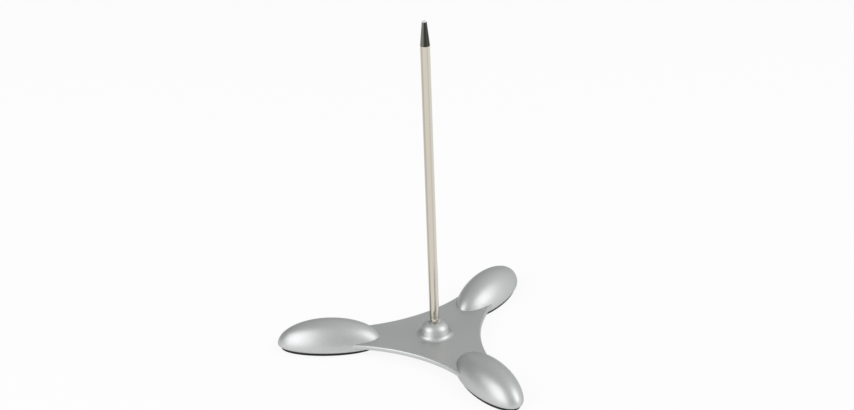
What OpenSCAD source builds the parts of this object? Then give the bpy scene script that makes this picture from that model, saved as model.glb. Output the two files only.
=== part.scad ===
// Bill spike: a blunt nickel-plated spike that screws into a weighted base with three egg-shaped feet.
// Millimetres. The origin is on the spike's axis at table level, +Z is up, the left foot points along -X.

/* [Feet] */
// Distance from the spike's axis to the tip of each foot
foot_reach = 70; // [64:1:90]
// Length of each egg-shaped foot
foot_len = 46.6; // [40:0.2:54]
// Width of each foot
foot_w = 19.7; // [18:0.1:24]
// Height of each foot's crown above the table
foot_h = 13.5; // [11:0.1:18]
// Height of each foot's widest line above the table
foot_rim_z = 2; // [1.6:0.1:2.6]
// Wall of the hollow feet
foot_wall = 3; // [2.8:0.1:4]

/* [Pads and weights] */
// Thickness of the pad under each foot
pad_t = 1.2; // [0.8:0.1:1.4]
// How far a pad's long sides lie inside the foot's edge
pad_inset = 1.2; // [0.6:0.1:1.8]
// How far a pad's outer end lies inside the foot's tip
pad_tip_inset = 1.6; // [1:0.1:2.6]
// How far a pad's inner end lies inside the foot's inner end
pad_heel_inset = 2.8; // [1.8:0.1:2.8]
// Gap between a weight and the wall of its foot
weight_gap = 0.3; // [0.2:0.05:0.6]

/* [Plate] */
// Height of the plate's upper face above the table
plate_top = 5.2; // [4.8:0.1:6]
// Thickness of the plate
plate_t = 2.2; // [1.6:0.1:2.4]
// Least distance from the spike's axis to the plate's hollow sides
waist_r = 20.2; // [17:0.1:21]
// Radius of the plate's hollow sides
waist_arc_r = 69.5; // [66:0.5:90]

/* [Boss] */
// Diameter of the boss's dome at its widest line
boss_d = 12.3; // [10:0.1:15]
// Height of that line above the table
dome_z = 8.2; // [8:0.1:9.4]
// Lean of the wall below the dome, in degrees from upright
wall_lean = 16; // [10:1:28]
// Radius of the flare between the wall and the plate
boss_flare = 2; // [1:0.1:3]
// Height of the boss's flat top above the table
boss_top = 11.6; // [10.6:0.1:14]
// Flat land left on the boss's top round the lock washer
land_margin = 0.3; // [0.1:0.1:0.8]
// How far the hub stands out below the plate
hub_drop = 0.8; // [0.4:0.1:1.4]

/* [Spike] */
// Diameter of the spike's shank
rod_d = 4.2; // [3.8:0.1:6]
// Height of the spike's blunt end above the table
spike_top = 153.2; // [90:0.2:220]
// Length of the tapered tip
tip_len = 10.8; // [6:0.2:20]
// Diameter of the blunt end
tip_d = 2.1; // [1:0.1:3.4]
// Diameter of the screw thread at the spike's foot
thread_d = 3; // [2:0.5:3.5]
// Length of the thread below the spike's shoulder
thread_len = 8.7; // [6:0.1:9.2]
// Chamfer on the end of the thread
thread_chamfer = 0.4; // [0.1:0.05:0.6]

/* [Lock washer] */
// Diameter over the washer's teeth
washer_d = 5.3; // [5:0.1:6.4]
// Thickness of the washer
washer_t = 0.6; // [0.4:0.1:1]
// Number of teeth
washer_teeth = 12; // [8:1:16]
// Width of the notch between two teeth
notch_w = 0.5; // [0.3:0.05:0.6]
// Depth of that notch
notch_depth = 0.5; // [0.2:0.05:0.6]

/* [Threaded insert] */
// Diameter of the insert's body, a press fit in the boss
insert_d = 5; // [4.6:0.1:6]
// Length of the insert's body above its flange
insert_len = 5.5; // [4:0.1:6.4]
// Diameter of the insert's flange
insert_flange_d = 7.2; // [6.4:0.1:9]
// Thickness of that flange
insert_flange_t = 0.8; // [0.4:0.1:1.2]
// Width of the groove round the insert's body
insert_groove_w = 1; // [0.4:0.1:2]
// Depth of that groove
insert_groove_depth = 0.3; // [0.1:0.05:0.5]

/* [Clearances] */
// Radial gap between the thread and what it turns in
run_gap = 0.05; // [0.02:0.01:0.1]
// Radial gap between the thread and the hole in the boss's crown
crown_gap = 0.2; // [0.1:0.05:0.4]
// Radial gap round the insert's flange
flange_gap = 0.1; // [0.05:0.05:0.3]

/* [Hidden] */

left_angle = 180;
front_angle = 300;
back_angle = 60;
foot_angles = [left_angle, front_angle, back_angle];
half_bay = 60;

foot_centre_r = foot_reach - foot_len / 2;
pad_half_len = (foot_len - pad_tip_inset - pad_heel_inset) / 2;
pad_half_w = foot_w / 2 - pad_inset;
pad_shift = (pad_heel_inset - pad_tip_inset) / 2;
waist_centre_r = waist_r + waist_arc_r;
plate_bottom = plate_top - plate_t;
hub_bottom = plate_bottom - hub_drop;

boss_r = boss_d / 2;
land_r = washer_d / 2 + land_margin;
land_angle = acos(land_r / boss_r);
dome_rise = (boss_top - dome_z) / sin(land_angle);
wall_angle = atan(tan(wall_lean) * dome_rise / boss_r);
wall_top_r = boss_r * cos(wall_angle);
wall_top_z = dome_z + dome_rise * sin(wall_angle);
flare_angle = 90 - wall_lean;
flare_top_z = plate_top + boss_flare * (1 - cos(flare_angle));
flare_top_r = wall_top_r + (wall_top_z - flare_top_z) * tan(wall_lean);
flare_r = flare_top_r + boss_flare * sin(flare_angle);

flange_top = hub_bottom + insert_flange_t;
insert_top = flange_top + insert_len;
insert_groove_z = flange_top + insert_len / 2;
shoulder_z = boss_top + washer_t;
thread_end = shoulder_z - thread_len;
tip_z = spike_top - tip_len;
thread_bore_d = thread_d + 2 * run_gap;
crown_bore_d = thread_d + 2 * crown_gap;

// Sides of a round face, and steps along the curves of the flare and the dome
round_fn = 96;
flare_steps = 6;
dome_steps = 8;
// Overrun of every cut past the face that it opens
cut = 0.5;

// Egg cut flat at its floor, shrunk by an inset on every side but the floor
module half_egg(inset, floor_z) {
    difference() {
        translate([0, 0, foot_rim_z])
            scale([foot_len / 2 - inset, foot_w / 2 - inset, foot_h - foot_rim_z - inset])
                sphere(r = 1, $fn = round_fn);
        translate([-foot_len, -foot_w, floor_z - 2 * foot_h])
            cube([2 * foot_len, 2 * foot_w, 2 * foot_h]);
    }
}

module at_foot(angle) {
    rotate(angle) translate([foot_centre_r, 0, 0]) children();
}

// Flat plate with three arms between hollow sides
module plate() {
    translate([0, 0, plate_bottom]) linear_extrude(plate_t) difference() {
        circle(r = foot_centre_r, $fn = round_fn);
        for (angle = foot_angles)
            rotate(angle + half_bay) translate([waist_centre_r, 0]) circle(r = waist_arc_r, $fn = round_fn);
    }
}

// Hub, flare, leaning wall and dome that hold the spike
module boss() {
    flare = [for (i = [0 : flare_steps])
        let (t = flare_angle * i / flare_steps)
            [flare_r - boss_flare * sin(t), plate_top + boss_flare * (1 - cos(t))]];
    dome = [for (i = [0 : dome_steps])
        let (t = wall_angle + (land_angle - wall_angle) * i / dome_steps)
            [boss_r * cos(t), dome_z + dome_rise * sin(t)]];
    rotate_extrude($fn = round_fn)
        polygon(concat([[0, hub_bottom], [flare_r, hub_bottom]], flare, dome, [[0, boss_top]]));
}

// Bores through the boss: flange recess, press fit for the insert, clearance hole in the crown
module boss_bores() {
    translate([0, 0, hub_bottom - cut])
        cylinder(d = insert_flange_d + 2 * flange_gap, h = insert_flange_t + cut, $fn = round_fn);
    translate([0, 0, flange_top - cut])
        cylinder(d = insert_d, h = insert_len + cut, $fn = round_fn);
    translate([0, 0, insert_top - cut])
        cylinder(d = crown_bore_d, h = boss_top - insert_top + 2 * cut, $fn = round_fn);
}

module base_shell() {
    color("silver") difference() {
        union() {
            plate();
            boss();
            for (angle = foot_angles)
                at_foot(angle) half_egg(0, pad_t);
        }
        boss_bores();
        for (angle = foot_angles)
            at_foot(angle) half_egg(foot_wall, pad_t - cut);
    }
}

module foot_weight(angle) {
    color("dimgray") at_foot(angle) half_egg(foot_wall + weight_gap, pad_t);
}

module left_weight() { foot_weight(left_angle); }
module front_weight() { foot_weight(front_angle); }
module back_weight() { foot_weight(back_angle); }

// Flat oval pad under the foot's wall, cut from a taller prism
module foot_pad(angle) {
    color("black") at_foot(angle) intersection() {
        translate([pad_shift, 0, -cut]) linear_extrude(pad_t + 2 * cut)
            scale([pad_half_len, pad_half_w]) circle(r = 1, $fn = round_fn);
        translate([-foot_len, -foot_w, 0]) cube([2 * foot_len, 2 * foot_w, pad_t]);
    }
}

module left_pad() { foot_pad(left_angle); }
module front_pad() { foot_pad(front_angle); }
module back_pad() { foot_pad(back_angle); }

// Flanged brass insert, pressed into the boss from below
module threaded_insert() {
    color("goldenrod") difference() {
        union() {
            translate([0, 0, hub_bottom]) cylinder(d = insert_flange_d, h = insert_flange_t, $fn = round_fn);
            translate([0, 0, flange_top]) cylinder(d = insert_d, h = insert_len, $fn = round_fn);
        }
        translate([0, 0, hub_bottom - cut])
            cylinder(d = thread_bore_d, h = insert_top - hub_bottom + 2 * cut, $fn = round_fn);
        translate([0, 0, insert_groove_z - insert_groove_w / 2]) difference() {
            cylinder(d = insert_d + 2 * cut, h = insert_groove_w, $fn = round_fn);
            cylinder(d = insert_d - 2 * insert_groove_depth, h = insert_groove_w, $fn = round_fn);
        }
    }
}

// Toothed ring between the spike's shoulder and the boss
module lock_washer() {
    color("lightgray") translate([0, 0, boss_top]) difference() {
        cylinder(d = washer_d, h = washer_t, $fn = round_fn);
        translate([0, 0, -cut]) cylinder(d = thread_bore_d, h = washer_t + 2 * cut, $fn = round_fn);
        for (i = [0 : washer_teeth - 1])
            rotate(360 * i / washer_teeth)
                translate([washer_d / 2 - notch_depth, -notch_w / 2, -cut])
                    cube([notch_depth + cut, notch_w, washer_t + 2 * cut]);
    }
}

// Thread, shank and tapered blunt tip, in one piece
module spike_rod() {
    color("gainsboro") {
        translate([0, 0, thread_end])
            cylinder(d1 = thread_d - 2 * thread_chamfer, d2 = thread_d, h = thread_chamfer, $fn = round_fn);
        translate([0, 0, thread_end + thread_chamfer])
            cylinder(d = thread_d, h = thread_len - thread_chamfer, $fn = round_fn);
        translate([0, 0, shoulder_z])
            cylinder(d = rod_d, h = tip_z - shoulder_z, $fn = round_fn);
        translate([0, 0, tip_z])
            cylinder(d1 = rod_d, d2 = tip_d, h = tip_len, $fn = round_fn);
    }
}

base_shell();
left_weight();
front_weight();
back_weight();
left_pad();
front_pad();
back_pad();
threaded_insert();
lock_washer();
spike_rod();
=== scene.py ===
"""Bill spike: the looks, built round the CAD model. Sizes are in millimetres, meshes in metres."""
import math

import bpy
import numpy as np
from mathutils import Matrix, Quaternion, Vector


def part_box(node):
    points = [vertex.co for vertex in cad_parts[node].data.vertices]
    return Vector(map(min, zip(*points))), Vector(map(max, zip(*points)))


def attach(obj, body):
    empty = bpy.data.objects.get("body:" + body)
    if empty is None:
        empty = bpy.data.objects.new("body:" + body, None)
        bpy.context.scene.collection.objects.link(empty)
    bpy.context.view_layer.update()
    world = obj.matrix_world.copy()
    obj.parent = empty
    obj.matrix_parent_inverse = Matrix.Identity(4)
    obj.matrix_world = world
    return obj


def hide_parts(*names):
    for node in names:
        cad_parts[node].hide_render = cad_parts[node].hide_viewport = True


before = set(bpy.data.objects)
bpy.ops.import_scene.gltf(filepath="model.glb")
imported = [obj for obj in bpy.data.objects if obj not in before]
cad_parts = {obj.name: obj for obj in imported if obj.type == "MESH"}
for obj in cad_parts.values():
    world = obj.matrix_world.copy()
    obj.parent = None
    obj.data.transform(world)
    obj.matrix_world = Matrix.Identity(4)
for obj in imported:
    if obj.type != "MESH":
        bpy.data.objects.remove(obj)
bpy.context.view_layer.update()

MM = 0.001


def node_box(node):
    """Lowest and highest corner of a CAD node, in millimetres."""
    low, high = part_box(node)
    return np.array(low) / MM, np.array(high) / MM


shell_low, shell_high = node_box("base_shell")
pad_low, pad_high = node_box("left_pad")
insert_low, insert_high = node_box("threaded_insert")
washer_low, washer_high = node_box("lock_washer")
rod_low, rod_high = node_box("spike_rod")

# Feet: egg-shaped, hollow, cut flat where the pads close them
FOOT_REACH = -shell_low[0]
FOOT_LEN = 46.6
FOOT_W = 19.7
FOOT_H = shell_high[2]
FOOT_RIM_Z = 2.0
FOOT_WALL = 3.0
FOOT_EDGE_R = 1.5
MOUTH_EDGE_R = 0.3
FOOT_CENTRE_R = FOOT_REACH - FOOT_LEN / 2
FOOT_ANGLES = {"left": math.pi, "front": -math.pi / 3, "back": math.pi / 3}
HALF_BAY = math.pi / 3

# Pads under the feet
PAD_T = pad_high[2]
PAD_LEN = pad_high[0] - pad_low[0]
PAD_W = pad_high[1] - pad_low[1]
PAD_CENTRE_R = -(pad_low[0] + pad_high[0]) / 2
PAD_EDGE_R = 0.12

# Cast weights inside the feet, with a tiny flat on the crown from its angle upwards
WEIGHT_GAP = 0.3
WEIGHT_EDGE_R = 0.6
WEIGHT_CROWN_ANGLE = math.radians(88)

# Plate with three hollow sides
PLATE_TOP = 5.2
PLATE_T = 2.2
PLATE_EDGE_R = 0.7
WAIST_R = 20.2
WAIST_ARC_R = 69.5
COVE_R = 0.15

# Boss that holds the spike: a dome on a leaning wall with a flared foot, and the hub below it
BOSS_R = 6.15
BOSS_TOP = washer_low[2]
BOSS_SINK = 0.2
LAND_R = 2.95
LAND_EDGE_R = 0.4
DOME_Z = 8.2
DOME_RISE = (BOSS_TOP - DOME_Z) / math.sqrt(1 - (LAND_R / BOSS_R) ** 2)
WALL_LEAN = math.radians(16)
WALL_ANGLE = math.atan(math.tan(WALL_LEAN) * DOME_RISE / BOSS_R)
WALL_TOP_R = BOSS_R * math.cos(WALL_ANGLE)
WALL_TOP_Z = DOME_Z + DOME_RISE * math.sin(WALL_ANGLE)
BOSS_FLARE = 2.0
FLARE_ANGLE = math.pi / 2 - WALL_LEAN
FLARE_TOP_Z = PLATE_TOP + BOSS_FLARE * (1 - math.cos(FLARE_ANGLE))
FLARE_TOP_R = WALL_TOP_R + (WALL_TOP_Z - FLARE_TOP_Z) * math.tan(WALL_LEAN)
FLARE_COVE_R = BOSS_FLARE * math.tan(FLARE_ANGLE / 2) * math.sin(FLARE_ANGLE)
HUB_R = FLARE_TOP_R + BOSS_FLARE * math.sin(FLARE_ANGLE)
HUB_BOTTOM = insert_low[2]
HUB_EDGE_R = 0.3

# Threaded insert and the bores that it sits in
FLANGE_R = (insert_high[0] - insert_low[0]) / 2
FLANGE_T = 0.8
FLANGE_GAP = 0.1
FLANGE_CHAMFER = 0.15
INSERT_R = 2.5
INSERT_TOP = insert_high[2]
INSERT_CHAMFER = 0.2
KNURL_TEETH = 24
KNURL_DEPTH = 0.12
GROOVE_W = 1.0
GROOVE_DEPTH = 0.3
CROWN_BORE_R = 1.7
BORE_EDGE_R = 0.15

# Screw thread, an M3 of 0.5 mm pitch
THREAD_R = 1.5
THREAD_PITCH = 0.5
THREAD_DEPTH = 0.28
THREAD_GAP = 0.06
THREAD_CHAMFER = 0.4
THREAD_RELIEF = 0.6
CREST_SHARE = 0.125
ROOT_SHARE = 0.25

# Spike
ROD_R = (rod_high[0] - rod_low[0]) / 2
SHOULDER_Z = washer_high[2]
THREAD_END = rod_low[2]
SPIKE_TOP = rod_high[2]
TIP_LEN = 10.8
TIP_R = 1.05
TIP_EDGE_R = 0.2
SHOULDER_CHAMFER = 0.12

# Toothed lock washer
WASHER_R = (washer_high[0] - washer_low[0]) / 2
WASHER_BORE_R = 1.55
WASHER_T = 0.3
WASHER_TEETH = 12
TOOTH_ROOT_R = 2.12
TOOTH_SHARE = 0.62
TOOTH_RISE = 0.14

# Steps of the shell's skin
SKIN_STEP = 0.4
SLOPE_REACH = 0.02
LEAST_SLOPE_SQUARED = 0.25
EVEN_SHARE = 0.5
PULL_ROUNDS = 4
EVEN_ROUNDS = 6
LAST_PULL_ROUNDS = 3
TINY = 1e-9

# Steps of the turned pieces, and of rounded edges and flat faces, as shares of the half width
ROUND_SIDES = 96
SIDE_ANGLES = np.arange(ROUND_SIDES) * 2 * math.pi / ROUND_SIDES
EDGE_ANGLES = [math.radians(a) for a in (0, 30, 60, 90)]
FACE_SHARES = (0.95, 0.75, 0.5, 0.25)
THREAD_STEP = 0.05
SHANK_STEPS = 24
TIP_STEPS = 6
WEIGHT_STEPS = 18

# Cells of the washer: radii of the rows in its ring and in its teeth, and columns for each tooth
RING_ROWS = (1.75, 1.95)
TOOTH_ROWS = (2.3, 2.48)
TOOTH_COLUMNS = 8


def add_mesh(name, points_mm, faces, materials, normals=None):
    """New smooth mesh object from points in millimetres."""
    mesh = bpy.data.meshes.new(name)
    mesh.from_pydata((np.asarray(points_mm) * MM).tolist(), [], [list(map(int, f)) for f in faces])
    mesh.validate()
    mesh.polygons.foreach_set("use_smooth", [True] * len(mesh.polygons))
    for material in materials:
        mesh.materials.append(material)
    if normals is not None:
        mesh.normals_split_custom_set_from_vertices(normals.tolist())
    mesh.update()
    piece = bpy.data.objects.new(name, mesh)
    bpy.context.scene.collection.objects.link(piece)
    return piece


def place(piece, body, slot, *nodes):
    """The piece rides on a body and stands for its CAD nodes, which it hides. The slot is not used."""
    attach(piece, body)
    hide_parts(*nodes)


# Distance fields of the moulded shell
def fillet(a, b, radius):
    """Union of two distances, with a cove of that radius where they meet."""
    inner = np.hypot(np.maximum(radius - a, 0), np.maximum(radius - b, 0))
    return np.maximum(radius, np.minimum(a, b)) - inner


def rounded(a, b, radius):
    """Intersection of two distances, with its edge rounded to that radius."""
    outer = np.hypot(np.maximum(radius + a, 0), np.maximum(radius + b, 0))
    return np.minimum(-radius, np.maximum(a, b)) + outer


def ellipsoid(x, y, z, semi):
    """Distance to an ellipsoid about the origin, exact to first order at its surface."""
    reach = np.sqrt((x / semi[0]) ** 2 + (y / semi[1]) ** 2 + (z / semi[2]) ** 2)
    slope = np.sqrt((x / semi[0] ** 2) ** 2 + (y / semi[1] ** 2) ** 2 + (z / semi[2] ** 2) ** 2)
    return reach * (reach - 1) / np.maximum(slope, TINY)


def egg_semi(inset):
    """Half length, half width and rise of a foot's egg, shrunk by an inset."""
    return FOOT_LEN / 2 - inset, FOOT_W / 2 - inset, FOOT_H - FOOT_RIM_Z - inset


def egg(x, y, z, inset):
    """Distance to a foot's egg, shrunk by an inset, with the foot along +X."""
    return ellipsoid(x - FOOT_CENTRE_R, y, z - FOOT_RIM_Z, egg_semi(inset))


def bores(radius, z):
    """Distance to the flange recess, the insert's bore and the hole in the crown."""
    flange_top = HUB_BOTTOM + FLANGE_T
    recess = np.maximum(radius - FLANGE_R - FLANGE_GAP, z - flange_top)
    seat = np.maximum(radius - INSERT_R, z - INSERT_TOP)
    return np.minimum(np.minimum(recess, seat), radius - CROWN_BORE_R)


def shell_distance(points):
    """Distance to the base's shell. All three sectors are turned and mirrored into one."""
    radius = np.hypot(points[:, 0], points[:, 1])
    angle = np.arctan2(points[:, 1], points[:, 0]) - FOOT_ANGLES["left"]
    angle = (angle + HALF_BAY) % (2 * HALF_BAY) - HALF_BAY
    x = radius * np.cos(angle)
    y = np.abs(radius * np.sin(angle))
    z = points[:, 2]

    bay_r = WAIST_R + WAIST_ARC_R
    bay = WAIST_ARC_R - np.hypot(x - bay_r * math.cos(HALF_BAY), y - bay_r * math.sin(HALF_BAY))
    outline = np.maximum(bay, radius - FOOT_CENTRE_R)
    plate = rounded(outline, np.abs(z - PLATE_TOP + PLATE_T / 2) - PLATE_T / 2, PLATE_EDGE_R)
    foot = rounded(egg(x, y, z, 0), PAD_T - z, FOOT_EDGE_R)
    dome = ellipsoid(radius, 0, z - DOME_Z, (BOSS_R, BOSS_R, DOME_RISE))
    wall = (radius - WALL_TOP_R) * math.cos(WALL_LEAN) + (z - WALL_TOP_Z) * math.sin(WALL_LEAN)
    boss = rounded(np.where(z > WALL_TOP_Z, dome, wall), z - BOSS_TOP, LAND_EDGE_R)
    boss = np.maximum(boss, PLATE_TOP - BOSS_SINK - z)
    hub_mid = (HUB_BOTTOM + PLATE_TOP) / 2
    hub = rounded(radius - HUB_R, np.abs(z - hub_mid) - (hub_mid - HUB_BOTTOM), HUB_EDGE_R)
    hub = np.maximum(hub, z - PLATE_TOP + PLATE_T / 2)

    solid = fillet(plate, foot, COVE_R)
    solid = fillet(solid, boss, FLARE_COVE_R)
    solid = np.minimum(solid, hub)
    solid = rounded(solid, -bores(radius, z), BORE_EDGE_R)
    return rounded(solid, -egg(x, y, z, FOOT_WALL), MOUTH_EDGE_R)


# Quads on the zero level of a distance field
def gradient(distance, points):
    """Slope of a distance field at each point, by central differences."""
    slope = np.empty_like(points)
    for k in range(3):
        shift = np.zeros(3)
        shift[k] = SLOPE_REACH
        slope[:, k] = (distance(points + shift) - distance(points - shift)) / (2 * SLOPE_REACH)
    return slope


def pull_onto(distance, points, rounds):
    """Points moved along the slope until they lie on the surface."""
    for _ in range(rounds):
        slope = gradient(distance, points)
        size = np.maximum((slope ** 2).sum(axis=1), LEAST_SLOPE_SQUARED)
        points = points - slope * np.clip(distance(points) / size, -SKIN_STEP, SKIN_STEP)[:, None]
    return points


def even_out(distance, points, faces, rounds):
    """Points slid along the surface towards the middle of their neighbours."""
    ends = np.concatenate([faces[:, [k, (k + 1) % 4]] for k in range(4)])
    ends = np.concatenate([ends, ends[:, ::-1]])
    count = np.bincount(ends[:, 0], minlength=len(points))
    for _ in range(rounds):
        sums = [np.bincount(ends[:, 0], points[ends[:, 1], k], len(points)) for k in range(3)]
        move = np.stack(sums, axis=1) / count[:, None] - points
        normal = gradient(distance, points)
        normal /= np.maximum(np.linalg.norm(normal, axis=1), TINY)[:, None]
        move -= normal * (move * normal).sum(axis=1)[:, None]
        points = pull_onto(distance, points + EVEN_SHARE * move, 1)
    return points


def surface_net(distance, low, high, step):
    """One point in each grid cell that the surface crosses, and a quad round each crossed edge."""
    low = low - 2 * step
    counts = np.ceil((high + 2 * step - low) / step).astype(int) + 1
    ticks = [low[k] + step * np.arange(counts[k]) for k in range(3)]
    y, z = np.meshgrid(ticks[1], ticks[2], indexing="ij")
    field = np.empty(counts)
    for i, x in enumerate(ticks[0]):
        points = np.stack([np.full(y.size, x), y.ravel(), z.ravel()], axis=1)
        field[i] = distance(points).reshape(y.shape)

    inside = field < 0
    total = np.zeros((*(counts - 1), 3))
    hits = np.zeros(counts - 1, int)
    quads = []
    for k in range(3):
        near = tuple(slice(None, -1) if axis == k else slice(None) for axis in range(3))
        far = tuple(slice(1, None) if axis == k else slice(None) for axis in range(3))
        edge = np.argwhere(inside[near] != inside[far])
        start = field[near][tuple(edge.T)]
        share = start / (start - field[far][tuple(edge.T)])
        point = low + step * edge
        point[:, k] += step * share
        corners = []
        for back in ((0, 0), (1, 0), (1, 1), (0, 1)):
            cell = edge.copy()
            cell[:, (k + 1) % 3] -= back[0]
            cell[:, (k + 2) % 3] -= back[1]
            np.add.at(total, tuple(cell.T), point)
            np.add.at(hits, tuple(cell.T), 1)
            corners.append(cell)
        leaving = start < 0
        quads.append((corners, leaving))

    used = hits > 0
    number = np.full(hits.shape, -1)
    number[used] = np.arange(used.sum())
    points = total[used] / hits[used][:, None]
    faces = []
    for corners, leaving in quads:
        quad = np.stack([number[tuple(cell.T)] for cell in corners], axis=1)
        faces.append(np.where(leaving[:, None], quad, quad[:, ::-1]))
    return points, np.concatenate(faces)


def make_shell(material):
    """The whole moulded shell as one skin with coves, rounded edges, bores and hollow feet."""
    points, faces = surface_net(shell_distance, shell_low, shell_high, SKIN_STEP)
    points = pull_onto(shell_distance, points, PULL_ROUNDS)
    points = even_out(shell_distance, points, faces, EVEN_ROUNDS)
    points = pull_onto(shell_distance, points, LAST_PULL_ROUNDS)
    normals = gradient(shell_distance, points)
    normals /= np.maximum(np.linalg.norm(normals, axis=1), TINY)[:, None]
    return add_mesh("shell", points, faces, [material], normals)


# Turned pieces: stacks of rings
def ring_stack(rings, closed_bottom=True, closed_top=True):
    """Points and faces of rings joined bottom to top, the ends closed by fans."""
    sides = len(rings[0])
    points = np.concatenate(rings)
    faces = []
    for i in range(len(rings) - 1):
        for j in range(sides):
            k = (j + 1) % sides
            faces.append((i * sides + j, i * sides + k, (i + 1) * sides + k, (i + 1) * sides + j))
    for closed, end, order in ((closed_bottom, 0, -1), (closed_top, len(rings) - 1, 1)):
        if closed:
            centre = len(points)
            points = np.concatenate([points, rings[end].mean(axis=0)[None]])
            for j in range(sides):
                pair = (end * sides + j, end * sides + (j + 1) % sides)
                faces.append((*pair[::order], centre))
    return points, faces


def oval_ring(half_len, half_w, z, centre_x=0.0):
    """Oval at height z. Its half sizes are numbers, or have one value for each side."""
    x = half_len * np.cos(SIDE_ANGLES) + centre_x
    y = half_w * np.sin(SIDE_ANGLES)
    return np.stack([x, y, np.full(ROUND_SIDES, z)], axis=1)


def ring(radius, z):
    """Ring about the Z axis. The radius is one number, or one for each side."""
    return oval_ring(radius, radius, z)


def thread_radius(z, gap=0.0):
    """Radius of the right-hand screw thread at height z, for each side of the ring."""
    turn = (z / THREAD_PITCH - SIDE_ANGLES / (2 * math.pi)) % 1
    away = np.abs(2 * turn - 1)
    share = np.clip((away - CREST_SHARE) / (1 - CREST_SHARE - ROOT_SHARE), 0, 1)
    return THREAD_R + gap - THREAD_DEPTH * share


def make_spike(nickel, ground, cut):
    """Threaded tail, shank, ground taper and blunt cut end."""
    relief_z = SHOULDER_Z - THREAD_RELIEF
    neck_r = THREAD_R - THREAD_DEPTH
    rings = [ring(THREAD_R - THREAD_CHAMFER, THREAD_END)]
    for z in np.arange(THREAD_END + THREAD_STEP, relief_z, THREAD_STEP):
        limit = THREAD_R - THREAD_CHAMFER + (z - THREAD_END)
        rings.append(ring(np.minimum(thread_radius(z), limit), z))
    rings.append(ring(neck_r, relief_z + THREAD_STEP))
    rings.append(ring(neck_r, SHOULDER_Z))
    rings.append(ring(ROD_R - SHOULDER_CHAMFER, SHOULDER_Z))
    rings.append(ring(ROD_R, SHOULDER_Z + SHOULDER_CHAMFER))
    tip_z = SPIKE_TOP - TIP_LEN
    for z in np.linspace(SHOULDER_Z + SHOULDER_CHAMFER, tip_z, SHANK_STEPS)[1:]:
        rings.append(ring(ROD_R, z))
    slope = (ROD_R - TIP_R) / TIP_LEN
    for share in np.linspace(0, 1, TIP_STEPS)[1:]:
        z = tip_z + share * (TIP_LEN - TIP_EDGE_R)
        rings.append(ring(ROD_R - slope * (z - tip_z), z))
    for angle in EDGE_ANGLES[1:]:
        lift = math.sin(angle) - 1
        inward = 1 - math.cos(angle)
        rings.append(ring(TIP_R - TIP_EDGE_R * inward, SPIKE_TOP + TIP_EDGE_R * lift))
    points, faces = ring_stack(rings)
    piece = add_mesh("spike", points, faces, [nickel, ground, cut])
    tip_start = tip_z * MM
    end_start = (SPIKE_TOP - TIP_EDGE_R) * MM
    for face in piece.data.polygons:
        face.material_index = int(face.center.z > tip_start) + int(face.center.z > end_start)
    return piece


def make_insert(material):
    """Flanged, knurled insert with an internal thread."""
    flange_top = HUB_BOTTOM + FLANGE_T
    groove_z = (flange_top + INSERT_TOP) / 2
    groove_low = groove_z - GROOVE_W / 2
    groove_high = groove_z + GROOVE_W / 2
    groove_r = INSERT_R - GROOVE_DEPTH
    teeth = np.abs((SIDE_ANGLES * KNURL_TEETH / (2 * math.pi)) % 1 - 0.5) * 2
    knurl_r = INSERT_R - KNURL_DEPTH * teeth
    rings = [ring(FLANGE_R - FLANGE_CHAMFER, HUB_BOTTOM), ring(FLANGE_R, HUB_BOTTOM + FLANGE_CHAMFER)]
    rings += [ring(FLANGE_R, flange_top), ring(knurl_r, flange_top)]
    rings += [ring(knurl_r, groove_low), ring(groove_r, groove_low)]
    rings += [ring(groove_r, groove_high), ring(knurl_r, groove_high)]
    rings += [ring(knurl_r, INSERT_TOP - INSERT_CHAMFER), ring(INSERT_R - INSERT_CHAMFER, INSERT_TOP)]
    lead_in = THREAD_R + THREAD_GAP + INSERT_CHAMFER / 2
    rings.append(ring(lead_in, INSERT_TOP))
    for z in np.arange(INSERT_TOP - THREAD_STEP, HUB_BOTTOM + THREAD_STEP / 2, -THREAD_STEP):
        from_end = min(INSERT_TOP - z, z - HUB_BOTTOM)
        rings.append(ring(np.maximum(thread_radius(z, THREAD_GAP), lead_in - from_end), z))
    rings.append(ring(lead_in, HUB_BOTTOM))
    points, faces = ring_stack(rings + [rings[0]], False, False)
    loop_start = len(points) - ROUND_SIDES
    faces = [tuple(i - loop_start if i >= loop_start else i for i in face) for face in faces]
    return add_mesh("insert", points[:loop_start], faces, [material])


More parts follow.
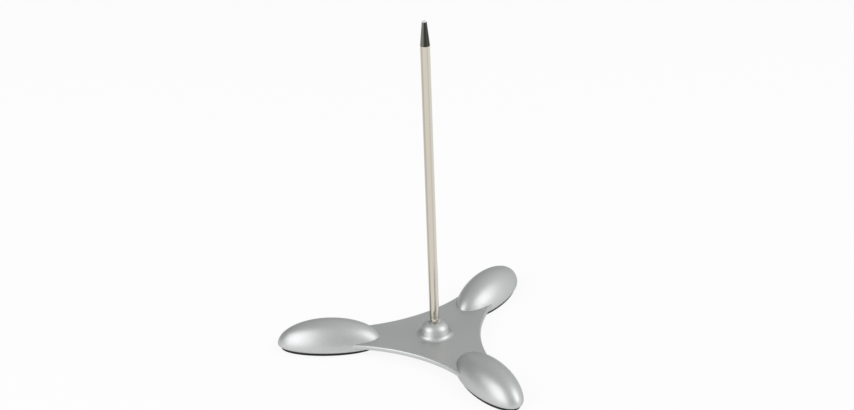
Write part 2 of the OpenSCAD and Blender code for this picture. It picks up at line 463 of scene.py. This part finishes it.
def make_washer(material):
    """Flat ring with teeth that are twisted about their own length."""
    columns = WASHER_TEETH * TOOTH_COLUMNS
    radii = np.array([WASHER_BORE_R, *RING_ROWS, TOOTH_ROOT_R, *TOOTH_ROWS, WASHER_R])
    rows = len(radii)
    angles = np.arange(columns) * 2 * math.pi / columns
    tooth_cells = round(TOOTH_COLUMNS * TOOTH_SHARE)
    along = (np.arange(columns) % TOOTH_COLUMNS) / tooth_cells * 2 - 1
    ramp = np.clip((radii - TOOTH_ROOT_R) / (TOOTH_ROWS[0] - TOOTH_ROOT_R), 0, 1)
    mid = (washer_low[2] + washer_high[2]) / 2
    lift = mid + TOOTH_RISE * np.clip(along, -1, 1)[:, None] * ramp
    flat = np.stack([np.cos(angles)[:, None] * radii, np.sin(angles)[:, None] * radii], axis=-1)
    heights = [lift + side * WASHER_T / 2 for side in (-1, 1)]
    layers = [np.concatenate([flat, z[..., None]], axis=-1) for z in heights]

    def corner(layer, column, row):
        """Number of a point in the lower or upper layer."""
        return layer * columns * rows + (column % columns) * rows + row

    def there(column, row):
        """Whether a cell of the washer holds metal."""
        if row < 0 or row >= rows - 1:
            return False
        return radii[row] < TOOTH_ROOT_R or column % TOOTH_COLUMNS < tooth_cells

    faces = []
    for column in range(columns):
        for row in range(rows - 1):
            if not there(column, row):
                continue
            cell = [(column, row), (column, row + 1), (column + 1, row + 1), (column + 1, row)]
            faces.append([corner(1, *c) for c in cell])
            faces.append([corner(0, *c) for c in cell[::-1]])
            beside = [(column - 1, row), (column, row + 1), (column + 1, row), (column, row - 1)]
            for edge, other in enumerate(beside):
                if not there(*other):
                    a, b = cell[edge], cell[(edge + 1) % 4]
                    faces.append([corner(1, *b), corner(1, *a), corner(0, *a), corner(0, *b)])
    points = np.concatenate([layer.reshape(-1, 3) for layer in layers])
    kept = np.unique(np.concatenate(faces))
    number = np.zeros(len(points), int)
    number[kept] = np.arange(len(kept))
    piece = add_mesh("washer", points[kept], [number[face] for face in faces], [material])
    piece.data.polygons.foreach_set("use_smooth", [False] * len(piece.data.polygons))
    return piece


# Pieces of a foot: stacks of ovals, each given by its half length, half width and height
def flat_ovals(half_len, half_w, z):
    """Ovals across a flat face, from its middle outwards."""
    return [(half_len - half_w * share, half_w - half_w * share, z) for share in FACE_SHARES]


def edge_steps(radius):
    """Inset and rise along a rounded edge, from the flat face to the side."""
    return [(radius * (1 - math.sin(t)), radius * (1 - math.cos(t))) for t in EDGE_ANGLES]


def add_foot_piece(name, angle, centre_r, ovals, material):
    """Closed piece from ovals, bottom to top, about a point of the foot's axis."""
    points, faces = ring_stack([oval_ring(*oval, centre_r) for oval in ovals])
    turn = np.array(Matrix.Rotation(angle, 3, "Z"))
    return add_mesh(name, points @ turn.T, faces, [material])


def make_pad(name, angle, material):
    """Oval pad with rounded edges, flat where it meets the foot and the table."""
    half_len = PAD_LEN / 2
    half_w = PAD_W / 2
    lower = flat_ovals(half_len, half_w, 0)
    lower += [(half_len - inset, half_w - inset, z) for inset, z in edge_steps(PAD_EDGE_R)]
    upper = [(oval_len, oval_w, PAD_T - z) for oval_len, oval_w, z in lower[::-1]]
    return add_foot_piece(name, angle, PAD_CENTRE_R, lower + upper, material)


def make_weight(name, angle, material):
    """Cast slug that fills the hollow of a foot, with a rounded lower edge."""
    half_len, half_w, rise = egg_semi(FOOT_WALL + WEIGHT_GAP)

    def oval(z, inset=0.0):
        """The slug's oval at height z."""
        share = math.sqrt(1 - ((z - FOOT_RIM_Z) / rise) ** 2)
        return half_len * share - inset, half_w * share - inset, z

    ovals = flat_ovals(*oval(PAD_T))
    ovals += [oval(PAD_T + z, inset) for inset, z in edge_steps(WEIGHT_EDGE_R)]
    edge_top = math.asin((PAD_T + WEIGHT_EDGE_R - FOOT_RIM_Z) / rise)
    for tilt in np.linspace(edge_top, WEIGHT_CROWN_ANGLE, WEIGHT_STEPS)[1:]:
        ovals.append(oval(FOOT_RIM_Z + rise * math.sin(tilt)))
    return add_foot_piece(name, angle, FOOT_CENTRE_R, ovals, material)


# Materials
class Paint:
    """Short way to build a node material."""

    def __init__(self, name):
        self.material = bpy.data.materials.new(name)
        self.material.use_nodes = True
        self.nodes = self.material.node_tree.nodes
        self.links = self.material.node_tree.links
        self.shader = self.nodes["Principled BSDF"]

    def set(self, **values):
        """Plain values on the shader's own sockets, with _ for a space in a socket's name."""
        for socket, value in values.items():
            self.shader.inputs[socket.replace("_", " ")].default_value = value
        return self

    def node(self, kind, **inputs):
        """New node with its input values."""
        made = self.nodes.new(kind)
        for socket, value in inputs.items():
            made.inputs[socket.replace("_", " ")].default_value = value
        return made

    def link(self, source, target):
        """Link from an output to an input."""
        self.links.new(source, target)

    def position(self, scale):
        """Object position, stretched by a scale per axis, per millimetre."""
        place_node = self.node("ShaderNodeTexCoord")
        mapping = self.node("ShaderNodeMapping", Scale=tuple(s / MM for s in scale))
        self.link(place_node.outputs["Object"], mapping.inputs["Vector"])
        return mapping.outputs["Vector"]

    def noise(self, scale, detail=3.0, roughness=0.55):
        """Noise with a scale per axis, per millimetre."""
        made = self.node("ShaderNodeTexNoise", Scale=1.0, Detail=detail, Roughness=roughness)
        self.link(self.position(scale), made.inputs["Vector"])
        return made.outputs["Fac"]

    def around_axis(self):
        """Angle about the Z axis, from 0 to 1, starting on the left."""
        made = self.node("ShaderNodeTexGradient")
        made.gradient_type = "RADIAL"
        self.link(self.position((1, 1, 1)), made.inputs["Vector"])
        return made.outputs["Fac"]

    def cells(self, scale):
        """A grey value for each cell of a fine Voronoi pattern."""
        made = self.node("ShaderNodeTexVoronoi", Scale=1.0)
        self.link(self.position(scale), made.inputs["Vector"])
        split = self.node("ShaderNodeSeparateColor")
        self.link(made.outputs["Color"], split.inputs["Color"])
        return split.outputs["Red"]

    def ramp(self, factor, *stops):
        """Colour from a factor, through stops of place and colour."""
        made = self.node("ShaderNodeValToRGB")
        elements = made.color_ramp.elements
        while len(elements) < len(stops):
            elements.new(0.5)
        for element, (at, colour) in zip(elements, stops):
            element.position = at
            element.color = (*colour, 1)
        self.link(factor, made.inputs["Fac"])
        return made.outputs["Color"]

    def spread(self, factor, low, high):
        """A factor of 0 to 1 spread from low to high."""
        made = self.node("ShaderNodeMapRange", To_Min=low, To_Max=high)
        self.link(factor, made.inputs["Value"])
        return made.outputs["Result"]

    def bump(self, height, strength, distance_mm):
        """Bump from a height, on the shader's normal."""
        made = self.node("ShaderNodeBump", Strength=strength, Distance=distance_mm * MM)
        self.link(height, made.inputs["Height"])
        self.link(made.outputs["Normal"], self.shader.inputs["Normal"])

    def feed(self, socket, output):
        """Link from an output to one of the shader's sockets."""
        self.link(output, self.shader.inputs[socket])


def two_tones(colour, share):
    """The colour darkened and lightened by a share, for the two ends of a ramp."""
    return tuple(c * (1 - share) for c in colour), tuple(c * (1 + share) for c in colour)


def silver_lacquer():
    """Satin silver lacquer: fine flake, a thin clear coat, faint unevenness."""
    paint = Paint("silver_lacquer").set(Metallic=0.9, Coat_Weight=0.06, Coat_Roughness=0.1)
    paint.set(Specular_IOR_Level=0.3, Specular_Tint=(0.55, 0.55, 0.55, 1))
    dark, light = two_tones((0.565, 0.58, 0.578), 0.08)
    flake = paint.cells((9, 9, 9))
    paint.feed("Base Color", paint.ramp(flake, (0.0, dark), (1.0, light)))
    paint.feed("Roughness", paint.spread(paint.noise((0.15, 0.15, 0.15)), 0.41, 0.47))
    paint.bump(paint.noise((1.6, 1.6, 1.6)), 0.10, 0.02)
    return paint.material


def nickel_plate():
    """Bright nickel over drawn steel: painted reflection as broad bands round the axis, and fine lines
    along the shank.
    """
    paint = Paint("nickel_plate").set(Metallic=1.0)
    # Tones of the painted reflection: dark and pale stripes of the surroundings, fixed round the rod
    dark, middle = (0.5, 0.457, 0.383), (0.55, 0.508, 0.433)
    light, pale = (0.65, 0.605, 0.525), (0.66, 0.635, 0.583)
    painted_reflection_bands = [(0.0, middle), (0.07, middle), (0.12, dark), (0.145, dark), (0.175, light), (0.285, light)]
    painted_reflection_bands += [(0.322, middle), (0.352, light), (0.39, pale), (0.5, pale), (0.58, middle), (0.66, light)]
    painted_reflection_bands += [(0.86, light), (1.0, middle)]
    paint.feed("Base Color", paint.ramp(paint.around_axis(), *painted_reflection_bands))
    lines = paint.noise((3, 3, 0.01), 3)
    paint.feed("Roughness", paint.spread(lines, 0.10, 0.20))
    paint.bump(lines, 0.08, 0.02)
    return paint.material


def ground_steel():
    """Ground steel of the taper: its dark tone and its bands round the axis are painted reflection, with
    streaks from end to end.
    """
    paint = Paint("ground_steel").set(Metallic=1.0)
    # Very dark tones and bands round the axis: painted reflection, fixed round the rod
    dark, middle, light = (0.045, 0.043, 0.036), (0.1, 0.098, 0.088), (0.17, 0.167, 0.155)
    painted_reflection_bands = [(0.0, middle), (0.03, light), (0.15, light), (0.2, middle), (0.24, dark), (0.31, dark)]
    painted_reflection_bands += [(0.335, middle), (0.37, dark), (0.5, dark), (0.6, light), (0.72, dark)]
    painted_reflection_bands += [(0.85, light), (1.0, middle)]
    paint.feed("Base Color", paint.ramp(paint.around_axis(), *painted_reflection_bands))
    lines = paint.noise((4, 4, 0.05), 4)
    paint.feed("Roughness", paint.spread(lines, 0.25, 0.4))
    paint.bump(lines, 0.2, 0.02)
    return paint.material


def cut_steel():
    """Pale matt face where the rod was cut off."""
    paint = Paint("cut_steel").set(Metallic=0.3)
    dark, light = (0.6, 0.58, 0.54), (0.86, 0.85, 0.82)
    marks = paint.noise((1.5, 6, 1), 3)
    paint.feed("Base Color", paint.ramp(marks, (0.35, dark), (0.6, light)))
    paint.feed("Roughness", paint.spread(marks, 0.45, 0.6))
    paint.bump(marks, 0.2, 0.02)
    return paint.material


def washer_steel():
    """Plated spring steel, stamped: fine scratches."""
    paint = Paint("washer_steel").set(Metallic=1.0)
    dark, light = (0.66, 0.67, 0.66), (0.9, 0.91, 0.9)
    grain = paint.noise((6, 6, 6), 4)
    paint.feed("Base Color", paint.ramp(grain, (0.3, dark), (0.7, light)))
    paint.feed("Roughness", paint.spread(grain, 0.15, 0.35))
    paint.bump(grain, 0.2, 0.02)
    return paint.material


def pad_rubber():
    """Matt black rubber with a fine cell grain."""
    paint = Paint("pad_rubber").set(Specular_IOR_Level=0.35)
    dark, light = (0.009, 0.009, 0.009), (0.022, 0.022, 0.021)
    grain = paint.noise((4, 4, 4), 4)
    paint.feed("Base Color", paint.ramp(grain, (0.35, dark), (0.7, light)))
    paint.feed("Roughness", paint.spread(grain, 0.7, 0.9))
    paint.bump(paint.cells((5, 5, 5)), 0.35, 0.05)
    return paint.material


def insert_brass():
    """Turned brass: fine rings and a little tarnish."""
    paint = Paint("insert_brass").set(Metallic=1.0)
    dark, light = (0.56, 0.40, 0.17), (0.78, 0.60, 0.30)
    tarnish = paint.noise((0.8, 0.8, 0.8), 4)
    paint.feed("Base Color", paint.ramp(tarnish, (0.3, dark), (0.7, light)))
    paint.feed("Roughness", paint.spread(tarnish, 0.22, 0.4))
    paint.bump(paint.noise((0.6, 0.6, 12)), 0.15, 0.02)
    return paint.material


def weight_iron():
    """Rough cast iron: sandy skin with darker patches."""
    paint = Paint("weight_iron").set(Metallic=0.6)
    dark, light = (0.09, 0.088, 0.085), (0.21, 0.205, 0.2)
    patches = paint.noise((0.4, 0.4, 0.4), 5)
    paint.feed("Base Color", paint.ramp(patches, (0.3, dark), (0.75, light)))
    paint.feed("Roughness", paint.spread(patches, 0.55, 0.8))
    paint.bump(paint.noise((2.5, 2.5, 2.5), 4), 0.6, 0.15)
    return paint.material


# Pieces
place(make_shell(silver_lacquer()), "base", "silver_lacquer", "base_shell")
place(make_insert(insert_brass()), "base", "insert_brass", "threaded_insert")
place(make_washer(washer_steel()), "washer", "washer_steel", "lock_washer")
spike = make_spike(nickel_plate(), ground_steel(), cut_steel())
place(spike, "spike", "nickel_plate", "spike_rod")
rubber = pad_rubber()
iron = weight_iron()
for side, foot_angle in FOOT_ANGLES.items():
    place(make_pad(f"{side}_foot_pad", foot_angle, rubber), "base", "pad_rubber", f"{side}_pad")
    place(make_weight(f"{side}_foot_weight", foot_angle, iron), "base", "weight_iron", f"{side}_weight")

# Camera at the photograph's viewpoint. Pixels are in the photograph's frame, angles in degrees
FRAME_W = 854
FRAME_H = 410
PIXELS_PER_MM = 2.251
VIEW_DISTANCE = 1022.5
VIEW_ELEVATION = 25.551
VIEW_AZIMUTH = 1.441
VIEW_ROLL = 2.03
ORIGIN_PIXEL = (435.4, 344.039)
SENSOR_W = 36.0
CLIP_START = 0.01
CLIP_END = 50


def view_axes():
    """Forward, right and up of an unrolled camera at the photograph's azimuth and elevation."""
    a = math.radians(VIEW_AZIMUTH)
    e = math.radians(VIEW_ELEVATION)
    forward = Vector((-math.sin(a) * math.cos(e), math.cos(a) * math.cos(e), -math.sin(e)))
    right = Vector((math.cos(a), math.sin(a), 0))
    return forward, right, right.cross(forward)


def make_camera():
    """Camera that sees the origin at its pixel of the photograph's frame."""
    forward, right, up = view_axes()
    roll = math.radians(VIEW_ROLL)
    side = math.cos(roll) * right - math.sin(roll) * up
    top = math.sin(roll) * right + math.cos(roll) * up
    across = (ORIGIN_PIXEL[0] - FRAME_W / 2) / PIXELS_PER_MM
    rise = (FRAME_H / 2 - ORIGIN_PIXEL[1]) / PIXELS_PER_MM
    spot = -(across * side + rise * top + VIEW_DISTANCE * forward) * MM
    data = bpy.data.cameras.new("camera")
    data.sensor_fit = "HORIZONTAL"
    data.sensor_width = SENSOR_W
    data.lens = PIXELS_PER_MM * VIEW_DISTANCE / FRAME_W * SENSOR_W
    data.clip_start = CLIP_START
    data.clip_end = CLIP_END
    camera = bpy.data.objects.new("camera", data)
    turn = Matrix((side, top, -forward)).transposed().to_4x4()
    camera.matrix_world = Matrix.Translation(spot) @ turn
    bpy.context.scene.collection.objects.link(camera)
    bpy.context.scene.camera = camera


# Floor, lamps and world
FLOOR_HALF = 6.0
FLOOR_DROP = 0.00002
FLOOR_GLOW = 0.88
WORLD_DARK = 0.2
WORLD_BRIGHT = 0.86
WORLD_SIDE = {"azimuth": 95, "elevation": 15}
LAMP_DISTANCE = 1.1
LEFT_LAMP = {"azimuth": -56, "elevation": 27, "width": 0.92, "height": 1.36, "lean": 30, "radiance": 2.0}
RIGHT_LAMP = {"azimuth": 76, "elevation": 33, "width": 0.76, "height": 1.0, "lean": -14, "radiance": 1.64}


def make_floor():
    """Pale floor that keeps the shadow, lifted to white where it is seen or mirrored."""
    mesh = bpy.data.meshes.new("floor")
    square = ((-1, -1), (1, -1), (1, 1), (-1, 1))
    corners = [(x * FLOOR_HALF, y * FLOOR_HALF, -FLOOR_DROP) for x, y in square]
    mesh.from_pydata(corners, [], [(0, 1, 2, 3)])
    paint = Paint("floor").set(Base_Color=(0.9, 0.9, 0.9, 1), Roughness=0.9, Specular_IOR_Level=0.1)
    path = paint.node("ShaderNodeLightPath")
    glow = paint.node("ShaderNodeEmission", Color=(1, 1, 1, 1), Strength=1.0)
    seen = path.outputs["Is Camera Ray"]
    for kind in ("Is Glossy Ray", "Is Transmission Ray"):
        either = paint.node("ShaderNodeMath")
        either.operation = "MAXIMUM"
        paint.link(seen, either.inputs[0])
        paint.link(path.outputs[kind], either.inputs[1])
        seen = either.outputs["Value"]
    share = paint.node("ShaderNodeMath")
    share.operation = "MULTIPLY"
    share.inputs[1].default_value = FLOOR_GLOW
    paint.link(seen, share.inputs[0])
    mix = paint.node("ShaderNodeMixShader")
    paint.link(share.outputs["Value"], mix.inputs[0])
    paint.link(paint.shader.outputs["BSDF"], mix.inputs[1])
    paint.link(glow.outputs["Emission"], mix.inputs[2])
    paint.link(mix.outputs["Shader"], paint.nodes["Material Output"].inputs["Surface"])
    mesh.materials.append(paint.material)
    floor = bpy.data.objects.new("floor", mesh)
    bpy.context.scene.collection.objects.link(floor)


def studio_direction(azimuth, elevation):
    """Unit vector. Azimuth is from the photograph's side, positive to the viewer's right."""
    forward, right, _ = view_axes()
    towards = Vector((-forward.x, -forward.y, 0)).normalized()
    a = math.radians(azimuth)
    e = math.radians(elevation)
    return math.cos(e) * (math.cos(a) * towards + math.sin(a) * right) + math.sin(e) * Vector((0, 0, 1))


def make_lamp(name, azimuth, elevation, width, height, lean, radiance):
    """Softbox aimed at the object and leaned over, clockwise as the object sees it."""
    direction = studio_direction(azimuth, elevation)
    data = bpy.data.lights.new(name, "AREA")
    data.shape = "RECTANGLE"
    data.size = width
    data.size_y = height
    data.energy = radiance * math.pi * width * height
    lamp = bpy.data.objects.new(name, data)
    lamp.visible_camera = False
    lamp.location = direction * LAMP_DISTANCE
    lamp.rotation_mode = "QUATERNION"
    lean_turn = Quaternion((0, 0, 1), math.radians(lean))
    lamp.rotation_quaternion = (-direction).to_track_quat("-Z", "Y") @ lean_turn
    bpy.context.scene.collection.objects.link(lamp)


def make_world():
    """Soft light all round, brighter from one side."""
    world = bpy.data.worlds.new("studio")
    world.use_nodes = True
    nodes = world.node_tree.nodes
    links = world.node_tree.links
    background = nodes["Background"]
    background.inputs["Color"].default_value = (1, 1, 1, 1)
    direction = nodes.new("ShaderNodeTexCoord")
    facing = nodes.new("ShaderNodeVectorMath")
    facing.operation = "DOT_PRODUCT"
    facing.inputs[1].default_value = studio_direction(**WORLD_SIDE)
    level = nodes.new("ShaderNodeMapRange")
    level.inputs["From Min"].default_value = -1
    level.inputs["To Min"].default_value = WORLD_DARK
    level.inputs["To Max"].default_value = WORLD_BRIGHT
    links.new(direction.outputs["Generated"], facing.inputs[0])
    links.new(facing.outputs["Value"], level.inputs["Value"])
    links.new(level.outputs["Result"], background.inputs["Strength"])
    bpy.context.scene.world = world


make_camera()
make_floor()
make_lamp("left_softbox", **LEFT_LAMP)
make_lamp("right_softbox", **RIGHT_LAMP)
make_world()
bpy.context.scene.view_settings.view_transform = "Standard"
